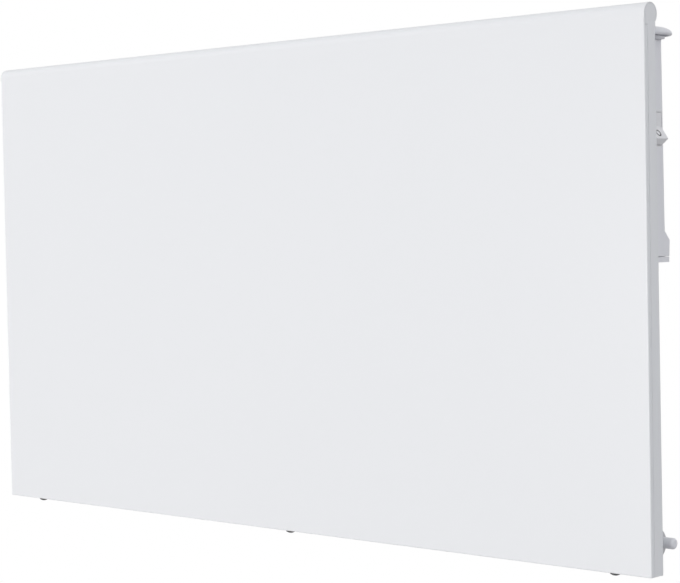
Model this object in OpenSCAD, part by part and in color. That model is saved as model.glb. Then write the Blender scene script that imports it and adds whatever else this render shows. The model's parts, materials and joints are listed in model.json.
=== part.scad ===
// Slim wall convector heater: a flat steel front with a rolled top edge, hung on a wall bracket.
// The origin is the centre of the bracket's four wall screws, on the wall.
// X runs to the right, Z runs up, and the room is on the side of negative Y.

/* [Front panel] */
// Width of the front panel
panel_w = 715; // [640:1:1100]
// Height of the front panel to the top of its roll
panel_h = 399; // [392:1:460]
// Depth of the panel's sides
panel_d = 14.4; // [12.6:0.1:15.6]
// Thickness of the panel's sheet
sheet = 0.8; // [0.7:0.05:1.2]
// Outer radius of the rolled top edge
roll_r = 7.85; // [7.4:0.05:8.2]
// Inner bend radius of the upright front edges
bend_r = 0.3; // [0.2:0.1:1]
// Depth of the folded side lips
lip_d = 3.6; // [3:0.1:5]
// Width of the seams beside the end caps
seam = 0.3; // [0.2:0.05:0.5]
// Width of the flanges behind the panel's sides
flange_w = 14; // [12:0.5:20]
// Height of the fold behind the roll
top_fold = 12; // [8:0.5:13]

/* [Bottom screws] */
// Distance of the outer bottom screws from the panel's sides
foot_inset = 36.7; // [30:0.1:80]
// Distance of the bottom screws behind the front
foot_y = 9.4; // [8.5:0.1:10]
// Diameter of the screw heads
foot_head_d = 8; // [6:0.1:8.4]
// Height of the screw heads
foot_head_h = 3.3; // [2:0.1:4]
// Diameter of the screw shanks
foot_shank_d = 4; // [3:0.1:5]
// Height of the clinch nuts
nut_h = 4; // [3:0.1:6]

/* [Back casing] */
// Distance from the wall to the front of the panel
wall_d = 68; // [66:0.5:80]
// Thickness of the casing's sheet
casing_t = 1; // [0.7:0.1:1.3]
// Distance from the panel's front to the back of the casing
casing_d = 40; // [38:0.1:42]
// Distance of the casing's rim from the panel's sides
rim_inset = 4; // [3:0.1:6]
// Distance of the rim's upper edge below the top of the panel
rim_drop = 23; // [22:0.5:26]
// Distance of the raised box from the panel's sides
box_inset = 62; // [58:0.5:80]
// Height of the box's floor above the panel's bottom
box_z0 = 34; // [25:0.5:45]
// Distance of the box's top below the top of the panel
box_drop = 31; // [26:0.5:36]
// Width of one air slot
slot_w = 30; // [20:1:40]
// Height of one air slot
slot_h = 5; // [4:0.1:7]
// Distance from one air slot to the next
slot_pitch = 38; // [36:1:60]

/* [Wall bracket] */
// Distance between the centres of the two rails
rail_gap = 300; // [240:1:330]
// Width of one rail
rail_w = 34; // [30:0.5:44]
// Length of the rails
rail_h = 290; // [276:1:300]
// Depth of the rails' flanges
rail_d = 18; // [14:0.5:22]
// Thickness of the bracket's sheet
bracket_t = 2; // [1.5:0.1:2.2]
// Upright distance between the wall screws
bolt_z = 250; // [240:1:256]
// Diameter of the holes for the wall screws
bolt_d = 6; // [5:0.1:7]
// Upright distance between the upper and lower hooks
hook_gap = 210; // [200:1:220]
// Height of a hook's tongue
tongue_h = 9; // [7:0.1:11]
// Height of the lip at a hook's end
hook_lip = 8; // [6:0.1:9]
// Thickness of the lip at a hook's end
hook_nose = 3.2; // [2.5:0.1:4]
// How far the heater can rise on its hooks
lift = 10; // [9.5:0.1:11]
// Clearance on each side of a hook in its slot
hook_play = 0.8; // [0.5:0.05:1.5]
// Height of the cross bars
bar_h = 20; // [14:0.5:24]
// Distance of the cross bars from the bracket's middle
bar_z = 70; // [60:1:80]
// Length of the bars' tabs on the rails
tab_l = 14; // [12:0.5:15]
// Diameter of the rivets
rivet_d = 4; // [3:0.1:5]

/* [Control housing] */
// Distance of the housing from the panel's right side
housing_inset = 12; // [11:0.1:13]
// Distance of the housing's top below the top of the panel
housing_drop = 23.6; // [22:0.1:26]
// Height of the housing with its terminal cover
housing_h = 156.9; // [150:0.1:170]
// Wall of the housing
housing_wall = 2; // [1.5:0.1:2.4]
// Distance from the panel's front to the housing's back at its top
housing_back_top = 38.9; // [38.5:0.1:39.5]
// Distance from the panel's front to the housing's back above its flare
housing_back_low = 40.4; // [40:0.1:42]
// Distance from the panel's front to the back of the flare
flare_back = 46.6; // [44:0.1:49]
// Height of the flare's upright part
flare_h = 15.6; // [13:0.1:18]
// Height of the slope above the flare
flare_slope = 6.5; // [5:0.1:9]
// How far the flare draws in towards its bottom
flare_taper = 0.9; // [0.3:0.1:1.5]
// Height of the terminal cover
cover_h = 3.8; // [3.4:0.1:5]

/* [Thermostat dial] */
// Radius of the dial
dial_r = 17.1; // [15:0.1:17.2]
// Height of the dial's dome above its widest line
dome_h = 5.7; // [4.5:0.1:7]
// Height of the dial's widest line above its underside
dial_rim = 1.4; // [0.8:0.1:2]
// Distance of the dial's axis from the panel's right side
dial_x = 19; // [18.8:0.1:20]
// Distance of the dial's axis behind the panel's front
dial_y = 32.6; // [32.5:0.1:32.7]
// Radius of the collar under the dial
collar_r = 11.9; // [9:0.1:14]
// Height of the collar
collar_h = 2.2; // [1.6:0.1:3]
// Gap between the collar and the dial
dial_gap = 0.4; // [0.3:0.05:0.8]
// Radius of the dial's spindle
spindle_r = 2.5; // [2:0.1:2.6]
// Running clearance of the spindle in its bush
run_fit = 0.05; // [0.02:0.01:0.08]

/* [Mains switch] */
// Distance of the rocker's axis below the top of the panel
rocker_drop = 85.2; // [81:0.1:91]
// Distance of the rocker's middle behind the panel's front
rocker_y = 31.1; // [30.8:0.1:31.2]
// Width of the rocker
rocker_w = 13.2; // [12:0.1:13.3]
// Distance of the rocker's ridge from its axis, along the switch
ridge_z = 9.8; // [8.8:0.1:10]
// Height of the rocker's ridge over its axis
ridge_x = 3.9; // [3.4:0.1:4.2]
// Depth of the rocker's axis inside the housing's face
pivot_in = 1; // [0.8:0.1:1.4]
// Tilt of the rocker to each side of its middle
rocker_tilt = 17; // [14:0.5:17.5]
// Distance of the rocker's lower end from its axis, along the switch
foot_z = 12.3; // [11.5:0.1:12.8]
// Radius of the rocker's pivot pins
pivot_r = 1; // [0.8:0.1:1.1]
// Clearance between the rocker and its frame
rocker_gap = 0.25; // [0.2:0.05:0.3]
// Width of the switch's frame beside the rocker
frame_w = 0.9; // [0.7:0.1:1]
// Width of the switch's frame above and below the rocker
frame_end = 1.2; // [0.8:0.1:2]
// How far the switch's frame stands out of the housing
frame_out = 0.3; // [0.3:0.05:1]
// Depth of the switch's body
switch_d = 19; // [16:0.5:22]

/* [Room sensor] */
// Distance of the sensor's flange from the panel's right side
sensor_x = 12; // [11:0.1:14]
// Distance of the sensor's axis behind the panel's front
sensor_y = 26.7; // [26.3:0.1:28]
// Height of the sensor's axis above the panel's bottom
sensor_z = 20.8; // [18:0.1:30]
// Radius of the sensor's flange
sensor_flange_r = 10.4; // [9:0.1:10.4]
// Thickness of the sensor's flange
sensor_flange_t = 4; // [3:0.1:5]
// How far the flange's centre lies below the sensor's axis
flange_drop = 1.4; // [0:0.1:1.5]
// Radius of the sensor's cap
sensor_r = 4; // [3.4:0.1:4.4]
// Length of the sensor's cap
sensor_l = 14.2; // [13:0.1:18]
// Radius of the rounded edge at the cap's end
cap_round = 2; // [1:0.1:3]
// Diameter of the sensor's lead
lead_d = 2.6; // [2:0.1:3.2]

/* [Heating element] */
// Height of the element's axis above the panel's bottom
element_z = 150; // [146:1:156]
// Distance of the element's axis behind the panel's front
element_y = 22; // [21:0.1:23]
// Distance of the element's fins from the box's sides
fin_inset = 46; // [40:1:60]
// Length of one wing of the fins
wing_l = 40; // [30:0.5:42]
// Thickness of a wing
wing_t = 1.4; // [1:0.1:2]
// Slant of the wings from the upright
wing_tilt = 12; // [8:0.5:14]
// Radius of the fins' hub
hub_r = 8; // [7:0.1:9]
// Radius of the sheathed rod
rod_r = 4; // [3:0.1:4.4]
// Distance of the element's brackets from the box's sides
holder_inset = 26; // [24:0.5:30]
// Thickness of the element's brackets
holder_t = 1.2; // [1:0.1:2]
// Radius of the ceramic insulators
ceramic_r = 7; // [6:0.1:8]
// Length of the ceramic insulators
ceramic_l = 8; // [6:0.1:10]
// Distance of the heat shield behind the panel's front
shield_y = 6; // [5:0.1:7]
// Thickness of the heat shield
shield_t = 0.6; // [0.4:0.1:1]
// Height of the heat shield
shield_h = 220; // [150:1:240]

/* [Hidden] */

$fn = 48;
eps = 0.01;
fit = 0.3;
hole_fit = 0.1;
thread_fit = 0.05;

white_paint = [0.95, 0.95, 0.96];
white_plastic = [0.9, 0.9, 0.92];
zinc = [0.72, 0.74, 0.76];
dark_steel = [0.16, 0.16, 0.17];

// Heights in the panel's own frame: its front lower left corner is the origin
hang_z = 200;
roll_y = roll_r;
roll_z = panel_h - roll_r;
roll_low = roll_z - roll_r;
fold_y = panel_d - sheet;
join_z = roll_z - sqrt(roll_r * roll_r - pow(fold_y - roll_y, 2));
join_lap = 0.05;
plate_drop = 2.3;
plate_top = roll_z - plate_drop;
plate_lap = 0.5;
edge_r = bend_r + sheet;
cap_gap = 0.1;
disc_r = roll_r - sheet - 1.5 * cap_gap;
strip_in = 6;
strip_w = lip_d + 2;
waist_h = 5;
waist_slope = 2;
foot_x = [foot_inset, panel_w / 2, panel_w - foot_inset];
head_dome_r = 0.75 * foot_head_d;
nut_wall = 1.6;

// Casing
rim_step = 4;
rim_back = panel_d + casing_t;
rim_top = panel_h - rim_drop;
rim_bottom = 2 * sheet + rim_step;
box_x1 = panel_w - box_inset;
box_z1 = panel_h - box_drop;
casing_in = casing_d - casing_t;
rim_screw_in = 56;
rim_screw_z = [rim_bottom + rim_screw_in, (rim_bottom + rim_top) / 2, rim_top - rim_screw_in];
rim_screw_x = rim_inset + 4;
rim_screw_l = 5;
small_head_r = 3.2;
small_head_h = 2;
small_shank_r = 1.5;
slot_rows = [rim_back + 6, rim_back + 13];
back_slot_drop = 18;
back_slot_step = 12;
back_slot_z = [box_z1 - back_slot_drop, box_z1 - back_slot_drop - back_slot_step];

// Hooks, measured from the middle of the bracket
hook_z = [-hook_gap / 2, hook_gap / 2];
hook_slot_h = lift + tongue_h + 2;
hook_slot_w = bracket_t + 2 * hook_play;
hook_back = wall_d - casing_in + hook_play;
rail_x = [-rail_gap / 2, rail_gap / 2];
flange_off = (rail_w - bracket_t) / 2;
hook_root = 1;
bar_lap = 2;
rivet_head_h = 1.2;
rivet_head_lip = 1.4;
rivet_x = rail_gap / 2 - rail_w / 2 + bracket_t + (tab_l - bracket_t) / 2 + 1;

// Control housing
housing_x1 = panel_w - housing_inset;
housing_x0 = box_x1 + fit;
housing_top = panel_h - housing_drop;
housing_bottom = housing_top - housing_h;
cover_top = housing_bottom + cover_h;
flare_top = housing_bottom + flare_h;
slope_top = flare_top + flare_slope;
groove = 0.4;
block_rise = 14;
block_z = housing_bottom + block_rise;
block_h = 14;
block_w = 22;
block_d = 16;
block_in = 7.7;
block_x0 = housing_x0 + housing_wall + block_in;
boss_r = 4;
boss_in = 28;
boss_off = 8;
boss_below = 29;
boss_x = housing_x1 - boss_in;
rocker_z = panel_h - rocker_drop;
boss_at = [[boss_x, block_z + block_h + boss_off], [boss_x, housing_top - boss_off],
    [housing_x1 - housing_wall - boss_r - 1, rocker_z - boss_below]];
boss_hole = 10;
post_r = 2.5;
post_inset = 4;
board_in = 9;
board_x0 = housing_x0 + board_in;
board_x1 = housing_x1 - housing_wall - 2 * boss_r - 2;
board_rise = 14;
board_drop = 29.9;
board_z0 = block_z + block_h + board_rise;
board_z1 = housing_top - board_drop;
board_y = rim_back + 1.6;
board_t = 1.6;
relay_at = [8, 10];
relay_size = [18, 13, 22];
capacitor_at = [14, 50];
capacitor_r = 6;
capacitor_h = 12;
post_at = [[board_x0 + post_inset, board_z0 + post_inset], [board_x0 + post_inset, board_z1 - post_inset],
    [board_x1 - post_inset, board_z0 + post_inset]];

// Dial
collar_z = housing_top;
dial_z = collar_z + collar_h + dial_gap;
spindle_x = panel_w - dial_x;
dial_hollow = 1.5;
dial_socket = 4;
bush_r = spindle_r + 1;
pot_top = housing_top - housing_wall;
pot_h = 12;
pot_half_x = 4.8;
pot_half_y = 4;
pot_floor = 3;
dial_wall = 2.6;
dial_hub = 3;
rim_in = 1.2;

// Switch
face_x = panel_w - housing_inset;
pivot_x = face_x - pivot_in;
rocker_round = norm([ridge_x, ridge_z]) - 0.1;
foot_in = 2.4;
opening_up = rocker_round + rocker_gap;
opening_down = norm([foot_in, foot_z]) + rocker_gap;
opening_half_y = rocker_w / 2 + rocker_gap;
cheek = 0.7;
rocker_dip = 0.9;
rocker_deep = 5;
pin_out = 0.4;
pin_play = 0.2;

// Gland and terminals
gland_x = panel_w - 36;
gland_y = rim_back + 15;
gland_r = 8;
gland_bore_r = 4;
gland_flange_r = 10;
gland_flange_t = 4;
gland_nut_h = 5;
entry_r = 2;
entry_in = 5;
entry_step = 10;
entry_y = 7;
entry_deep = 5;
wire_r = 1.3;
wire_z = block_z + block_h / 2;
grommet_r = 5;
grommet_lip = 1.5;
grommet_lip_r = grommet_r + 1;
wire_y = [rim_back + 6, rim_back + 9.4, rim_back + 12.8];

// Element
fin_x0 = box_inset + fin_inset;
fin_x1 = box_x1 - fin_inset;
holder_x = [box_inset + holder_inset, box_x1 - holder_inset];
rod_end = 12;
pin_r = 1.5;
pin_l = 7;
notch_pitch = 24;
notch_w = 2;
notch_in = 8;
wing_lap = 2;
holder_rise = 11;
holder_h = 28;
holder_foot = 12;
holder_screw_in = 7;
holder_screw_off = 8;
ceramic_lip = 1.5;
ceramic_lip_l = 2;
shield_out = 10;
shield_flange = 8;
cutout_in = 60;
cutout_drop = 30;
cutout_x = box_x1 - cutout_in;
cutout_z = box_z1 - cutout_drop;
cutout_r = 8;
cutout_h = 8;
ear_off = 11;
ear_l = 30;
ear_h = 8;
ear_t = 1;
tab_off = 4;
tab_h = 6;
tab_out = 7;
tab_t = 0.8;
lead_rise = 18;
lead_side = 4;
lead_turn_x = box_x1 - casing_t - 3;

back_screw_at = [[cutout_x - ear_off, cutout_z], [cutout_x + ear_off, cutout_z],
    [holder_x[0] + holder_screw_in, element_z - holder_screw_off],
    [holder_x[0] + holder_screw_in, element_z + holder_screw_off],
    [holder_x[1] - holder_screw_in, element_z - holder_screw_off],
    [holder_x[1] - holder_screw_in, element_z + holder_screw_off]];

// Room sensor
sensor_foot_t = 2.5;
sensor_foot_l = 20;
sensor_foot_w = 18;
sensor_arm_l = 6;
sensor_arm_w = 14;
sensor_arm_rise = 4;
sensor_screw_in = 15;
sensor_screw_x = panel_w - sensor_x - sensor_flange_t - sensor_screw_in;
bead_l = 5;
lead_x = board_x1 - 2.5;
lead_y = rim_back + lead_d / 2 + fit;
lead_fit = 0.2;

// Places a piece that is drawn in the panel's own frame
module from_panel() {
    translate([-panel_w / 2, -wall_d, -hang_z]) children();
}

// Extrudes an outline of Y and Z along X
module along_x(x0, x1) {
    translate([x0, 0, 0]) rotate([90, 0, 90]) linear_extrude(x1 - x0) children();
}

// A cylinder that runs along Y from the front towards the wall
module rod_y(x, y0, y1, z, r) {
    translate([x, y0, z]) rotate([-90, 0, 0]) cylinder(h = y1 - y0, r = r);
}

// A cylinder that runs along X
module rod_x(x0, x1, y, z, r) {
    translate([x0, y, z]) rotate([0, 90, 0]) cylinder(h = x1 - x0, r = r);
}

// A wire along straight stretches, round at its corners
module wire(points, r) {
    for (i = [0 : len(points) - 2]) {
        step = points[i + 1] - points[i];
        length = norm(step);
        turn = atan2(step.y, step.x);
        lean = acos(step.z / length);
        translate(points[i]) rotate([0, lean, turn]) cylinder(h = length, r = r, $fn = 16);
    }
    for (i = [1 : len(points) - 2]) translate(points[i]) sphere(r, $fn = 16);
}

// Outline of the flat front and the two bent edges, seen from above
module front_outline(lip) {
    translate([edge_r, 0]) square([panel_w - 2 * edge_r, sheet]);
    for (side = [0, 1]) translate([side * panel_w, 0]) mirror([side, 0]) {
        difference() {
            translate([edge_r, edge_r]) circle(edge_r);
            translate([edge_r, edge_r]) circle(bend_r);
            translate([edge_r, -edge_r]) square([2 * edge_r, 4 * edge_r]);
            translate([-edge_r, edge_r]) square([4 * edge_r, 2 * edge_r]);
        }
        if (lip > edge_r) translate([0, edge_r]) square([sheet, lip - edge_r]);
    }
}

// Outline of the rolled top edge, in Y and Z
module roll_outline() {
    difference() {
        translate([roll_y, roll_z]) circle(roll_r);
        translate([roll_y, roll_z]) circle(roll_r - sheet);
        translate([-eps, roll_low - 1]) square([roll_y, roll_r + 1]);
        translate([0, roll_low - 1]) square([2 * panel_d, join_z - roll_low + 1]);
    }
    translate([0, plate_top - plate_lap]) square([sheet, plate_drop + plate_lap]);
}

module front_panel() {
    color(white_paint) from_panel() {
        linear_extrude(roll_low - seam) front_outline(lip_d);
        linear_extrude(plate_top) front_outline(edge_r);
        along_x(0, panel_w) roll_outline();
        along_x(sheet, panel_w - sheet)
            translate([fold_y - sheet - join_lap, join_z - top_fold]) square([sheet, top_fold + join_lap]);
        difference() {
            translate([sheet, sheet / 2, 0]) cube([panel_w - 2 * sheet, panel_d - sheet / 2, sheet]);
            for (x = foot_x) translate([x, foot_y, -1])
                cylinder(h = sheet + 2, r = foot_shank_d / 2 + hole_fit);
        }
    }
}

// The left end cap; the right one is its mirror image
module end_cap() {
    along_x(0, sheet) {
        polygon([[lip_d + seam, 0], [panel_d, 0], [panel_d, join_z - waist_h],
            [fold_y, join_z - waist_h + waist_slope], [fold_y, join_z - seam],
            [lip_d + seam, join_z - seam]]);
        translate([edge_r + cap_gap, roll_low]) square([lip_d, plate_top - roll_low - seam]);
        translate([roll_y, roll_z]) circle(disc_r);
    }
    along_x(sheet, 3 * sheet) translate([roll_y, roll_z]) circle(disc_r);
    translate([sheet, edge_r + cap_gap, strip_in]) cube([sheet, strip_w, roll_low - 2 * strip_in]);
    translate([sheet, panel_d - sheet, sheet])
        cube([flange_w - sheet, sheet, join_z - top_fold - 2 * sheet - seam]);
}

module cap_screw_holes(side) {
    for (z = rim_screw_z)
        rod_y(side * panel_w + (1 - 2 * side) * rim_screw_x, 0, 2 * panel_d, z, small_shank_r + hole_fit);
}

module left_end_cap() {
    color(white_paint) from_panel() difference() {
        end_cap();
        cap_screw_holes(0);
    }
}

module right_end_cap() {
    color(white_paint) from_panel() difference() {
        translate([panel_w, 0, 0]) mirror([1, 0, 0]) end_cap();
        cap_screw_holes(1);
    }
}

module front_panel_screws() {
    color(dark_steel) from_panel() for (x = foot_x) translate([x, foot_y, 0]) {
        rotate_extrude() intersection() {
            translate([0, -foot_head_h]) square([foot_head_d / 2, foot_head_h]);
            translate([0, head_dome_r - foot_head_h]) circle(head_dome_r, $fn = 96);
        }
        cylinder(h = sheet + casing_t + nut_h, r = foot_shank_d / 2);
    }
}

module clinch_nuts() {
    color(zinc) from_panel() for (x = foot_x) translate([x, foot_y, sheet + casing_t])
        difference() {
            cylinder(h = nut_h, r = foot_shank_d / 2 + nut_wall);
            translate([0, 0, -1]) cylinder(h = nut_h + 2, r = foot_shank_d / 2 + thread_fit);
        }
}

// A row of air slots centred on the box, as many as fit on it
module air_slots(y0, y1, z0, z1) {
    count = floor((box_x1 - box_inset - 2 * slot_pitch) / slot_pitch);
    start = panel_w / 2 - (count - 1) * slot_pitch / 2;
    for (i = [0 : count - 1]) translate([start + i * slot_pitch - slot_w / 2, y0, z0])
        cube([slot_w, y1 - y0, z1 - z0]);
}

module hook_slots() {
    for (x = rail_x, side = [-1, 1], z = hook_z)
        translate([panel_w / 2 + x + side * flange_off - hook_slot_w / 2, casing_in - 1,
            hang_z + z - hook_slot_h]) cube([hook_slot_w, casing_t + 2, hook_slot_h]);
}

module back_casing() {
    color(zinc) from_panel() difference() {
        union() {
            translate([rim_inset, panel_d, rim_bottom])
                cube([panel_w - 2 * rim_inset, casing_t, rim_top - rim_bottom]);
            translate([box_inset, panel_d, box_z0])
                cube([box_x1 - box_inset, casing_d - panel_d, box_z1 - box_z0]);
            translate([foot_inset / 2, panel_d, sheet])
                cube([panel_w - foot_inset, casing_t, rim_bottom]);
            translate([foot_inset / 2, 2 * sheet, sheet])
                cube([panel_w - foot_inset, rim_back - 2 * sheet, casing_t]);
        }
        translate([box_inset + casing_t, 0, box_z0 + casing_t])
            cube([box_x1 - box_inset - 2 * casing_t, casing_in, box_z1 - box_z0 - 2 * casing_t]);
        for (y = slot_rows, z = [box_z0, box_z1 - casing_t])
            air_slots(y, y + slot_h, z - 1, z + casing_t + 1);
        for (z = back_slot_z) air_slots(casing_in - 1, casing_d + 1, z, z + slot_h);
        hook_slots();
        for (x = foot_x) translate([x, foot_y, 0])
            cylinder(h = 3 * sheet + casing_t, r = foot_shank_d / 2 + hole_fit);
        for (side = [0, 1]) cap_screw_holes(side);
        for (at = boss_at) rod_y(at[0], 0, casing_d, at[1], small_shank_r + hole_fit);
        rod_x(box_x1 - 2 * casing_t, box_x1 + casing_t, wire_y[1], wire_z, grommet_r + hole_fit);
        for (at = back_screw_at) rod_y(at[0], casing_in - 1, casing_d + 1, at[1], small_shank_r + hole_fit);
        rod_y(sensor_screw_x, panel_d - 1, rim_back + 1, sensor_z, small_shank_r + hole_fit);
    }
}

// A small pan-head screw that is driven along Y; its head starts at y
module small_screw(x, y, z, length, way) {
    translate([x, y, z]) rotate([90 * way, 0, 0]) {
        cylinder(h = small_head_h, r = small_head_r);
        translate([0, 0, -length]) cylinder(h = length + eps, r = small_shank_r);
    }
}

module casing_screws() {
    color(zinc) from_panel() for (side = [0, 1], z = rim_screw_z)
        small_screw(side * panel_w + (1 - 2 * side) * rim_screw_x, rim_back, z, rim_screw_l, -1);
}

module back_screws() {
    color(zinc) from_panel() {
        for (at = back_screw_at) small_screw(at[0], casing_d, at[1], casing_t + 3, -1);
        small_screw(sensor_screw_x, rim_back + sensor_foot_t, sensor_z, sensor_foot_t + casing_t + 3, -1);
    }
}

module heat_shield() {
    x0 = box_inset - shield_out;
    x1 = box_x1 + shield_out;
    z0 = element_z - shield_h / 2;
    color("silver") from_panel() {
        translate([x0, shield_y, z0]) cube([x1 - x0, shield_t, shield_h]);
        for (x = [x0, x1 - shield_t]) translate([x, shield_y, z0])
            cube([shield_t, panel_d - shield_y, shield_h]);
        for (x = [x0 - shield_flange, x1 - shield_t]) translate([x, panel_d - shield_t, z0])
            cube([shield_flange + shield_t, shield_t, shield_h]);
    }
}

module heating_element() {
    color("silver") from_panel() difference() {
        translate([0, element_y, element_z]) along_x(fin_x0, fin_x1) difference() {
            union() {
                circle(hub_r);
                for (a = [90 - wing_tilt, 90 + wing_tilt, 270 - wing_tilt, 270 + wing_tilt])
                    rotate(a) translate([hub_r - wing_lap, -wing_t / 2]) square([wing_l + wing_lap, wing_t]);
            }
            circle(rod_r + hole_fit);
        }
        for (x = [fin_x0 + notch_pitch : notch_pitch : fin_x1 - notch_pitch / 2], side = [-1, 1])
            translate([x, 0, element_z + side * (hub_r + wing_l / 2 + notch_in) - wing_l / 2])
                cube([notch_w, casing_d, wing_l]);
    }
}

module element_rod() {
    x0 = holder_x[0] - rod_end;
    x1 = holder_x[1] + rod_end;
    color(zinc) from_panel() {
        rod_x(x0, x1, element_y, element_z, rod_r);
        rod_x(x0 - pin_l, x0 + eps, element_y, element_z, pin_r);
        rod_x(x1 - eps, x1 + pin_l, element_y, element_z, pin_r);
    }
}

// A sheet bracket that carries one end of the element on the casing's back
module element_bracket(x, way) {
    color(zinc) from_panel() {
        difference() {
            translate([x - holder_t / 2, element_y - holder_rise, element_z - holder_h / 2])
                cube([holder_t, casing_in - element_y + holder_rise, holder_h]);
            rod_x(x - holder_t, x + holder_t, element_y, element_z, ceramic_r + hole_fit);
        }
        difference() {
            translate([x - holder_t / 2 + min(0, way * holder_foot), casing_in - holder_t,
                element_z - holder_h / 2]) cube([holder_foot + holder_t, holder_t, holder_h]);
            for (side = [-1, 1])
                rod_y(x + way * holder_screw_in, casing_in - 2 * holder_t, casing_d,
                    element_z + side * holder_screw_off, small_shank_r + hole_fit);
        }
    }
}

module left_element_bracket() {
    element_bracket(holder_x[0], 1);
}

module right_element_bracket() {
    element_bracket(holder_x[1], -1);
}

module ceramic_insulators() {
    color("ivory") from_panel() for (x = holder_x) difference() {
        union() {
            rod_x(x - ceramic_l / 2, x + ceramic_l / 2, element_y, element_z, ceramic_r);
            rod_x(x + holder_t / 2, x + holder_t / 2 + ceramic_lip_l, element_y, element_z,
                ceramic_r + ceramic_lip);
        }
        rod_x(x - ceramic_l, x + ceramic_l, element_y, element_z, rod_r + hole_fit);
    }
}

module thermal_cutout() {
    color(dark_steel) from_panel() {
        rod_y(cutout_x, casing_in - cutout_h, casing_in, cutout_z, cutout_r);
        difference() {
            translate([cutout_x - ear_l / 2, casing_in - ear_t, cutout_z - ear_h / 2])
                cube([ear_l, ear_t, ear_h]);
            for (x = [cutout_x - ear_off, cutout_x + ear_off])
                rod_y(x, casing_in - 2, casing_in + 1, cutout_z, small_shank_r + hole_fit);
        }
        for (x = [cutout_x - tab_off, cutout_x + tab_off])
            translate([x - tab_t / 2, casing_in - cutout_h - tab_out, cutout_z - tab_h / 2])
                cube([tab_t, tab_out + eps, tab_h]);
    }
}

// Side outline of the control housing in Y and Z, drawn in by an inset
module housing_outline(inset, z0, z1) {
    intersection() {
        polygon([[rim_back, housing_bottom], [flare_back - flare_taper - inset, housing_bottom],
            [flare_back - inset, flare_top], [housing_back_low - inset, slope_top],
            [housing_back_top - inset, housing_top], [rim_back, housing_top]]);
        translate([0, z0]) square([2 * casing_d, z1 - z0]);
    }
}

// Middle of the housing's back wall at a height above the flare
function housing_back(z) = housing_back_low - housing_wall / 2
    + (housing_back_top - housing_back_low) * (z - slope_top) / (housing_top - slope_top);

// A block round the rocker's place, larger than its opening at each side and each end
module switch_block(x0, x1, side, end) {
    translate([x0, rocker_y - opening_half_y - side, rocker_z - opening_down - end])
        cube([x1 - x0, 2 * (opening_half_y + side), opening_down + opening_up + 2 * end]);
}

module control_housing() {
    color(white_plastic) from_panel() difference() {
        union() {
            difference() {
                along_x(housing_x0, housing_x1) housing_outline(0, cover_top + groove, housing_top);
                along_x(housing_x0 + housing_wall, housing_x1 - housing_wall)
                    translate([-eps, 0])
                    housing_outline(housing_wall, housing_bottom, housing_top - housing_wall);
            }
            for (at = boss_at) rod_y(at[0], rim_back, housing_back(at[1]), at[1], boss_r);
            for (at = post_at) rod_y(at[0], board_y + board_t, housing_back(at[1]), at[1], post_r);
        }
        for (at = boss_at) rod_y(at[0], rim_back - 1, rim_back + boss_hole, at[1], small_shank_r + thread_fit);
        translate([spindle_x, dial_y, housing_top - 2 * housing_wall])
            cylinder(h = 3 * housing_wall, r = bush_r + hole_fit);
        switch_block(face_x - switch_d - 1, face_x + 1, cheek + hole_fit, cheek + hole_fit);
        rod_x(housing_x0 - 1, housing_x0 + 2 * housing_wall, wire_y[1], wire_z, grommet_r + hole_fit);
    }
}

module terminal_cover() {
    color(white_plastic) from_panel() difference() {
        union() {
            along_x(housing_x0, housing_x1) housing_outline(0, housing_bottom, cover_top);
            along_x(housing_x0 + housing_wall + fit, housing_x1 - housing_wall - fit)
                translate([0.5, 0]) housing_outline(housing_wall + fit + 0.5, cover_top - 1, cover_top + 3);
        }
        translate([housing_x0 + 2 * housing_wall + fit, rim_back - 1, housing_bottom + housing_wall])
            cube([housing_x1 - housing_x0 - 4 * housing_wall - 2 * fit,
                flare_back - rim_back - 2 * housing_wall - 1, cover_h + 4]);
        translate([gland_x, gland_y, housing_bottom - 1])
            cylinder(h = cover_h + 1, r = gland_r + hole_fit);
        sensor_lead_hole();
    }
}

// Notch in the cover where the sensor's lead enters the housing
module sensor_lead_hole() {
    translate([lead_x, lead_y, housing_bottom - 1]) cylinder(h = cover_h + 6, r = lead_d / 2 + lead_fit);
    translate([lead_x - lead_d / 2 - lead_fit, rim_back - 1, housing_bottom - 1])
        cube([lead_d + 2 * lead_fit, lead_y - rim_back + 1, cover_h + 6]);
}

module housing_screws() {
    color(zinc) from_panel() for (at = boss_at)
        small_screw(at[0], panel_d, at[1], casing_t + boss_hole - 1, 1);
}

module dial_collar() {
    color(white_plastic) from_panel() translate([spindle_x, dial_y, collar_z]) difference() {
        cylinder(h = collar_h, r = collar_r, $fn = 96);
        translate([0, 0, -1]) cylinder(h = collar_h + 2, r = bush_r + hole_fit);
    }
}

// Half the outline of the dial, rounded above and below its widest line
module dial_outline() {
    widest = dial_z + dial_rim;
    polygon(concat([[0, dial_z]],
        [for (a = [90 : -22.5 : 0]) [dial_r - rim_in * (1 - cos(a)), widest - dial_rim * sin(a)]],
        [for (a = [7.5 : 7.5 : 90]) [dial_r * cos(a), widest + dome_h * sin(a)]]));
}

module thermostat_dial() {
    color(white_plastic) from_panel() translate([spindle_x, dial_y, 0]) difference() {
        rotate_extrude($fn = 96) dial_outline();
        translate([0, 0, dial_z - 1]) difference() {
            cylinder(h = 1 + dial_hollow, r = dial_r - dial_wall);
            translate([0, 0, -1]) cylinder(h = 3 + dial_hollow, r = spindle_r + dial_hub);
        }
        translate([0, 0, dial_z - 1]) cylinder(h = 1 + dial_socket, r = spindle_r + hole_fit);
    }
}

module dial_spindle() {
    z0 = pot_top - pot_h + pot_floor;
    color(zinc) from_panel() translate([spindle_x, dial_y, z0])
        cylinder(h = dial_z + dial_socket - 0.2 - z0, r = spindle_r);
}

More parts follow.
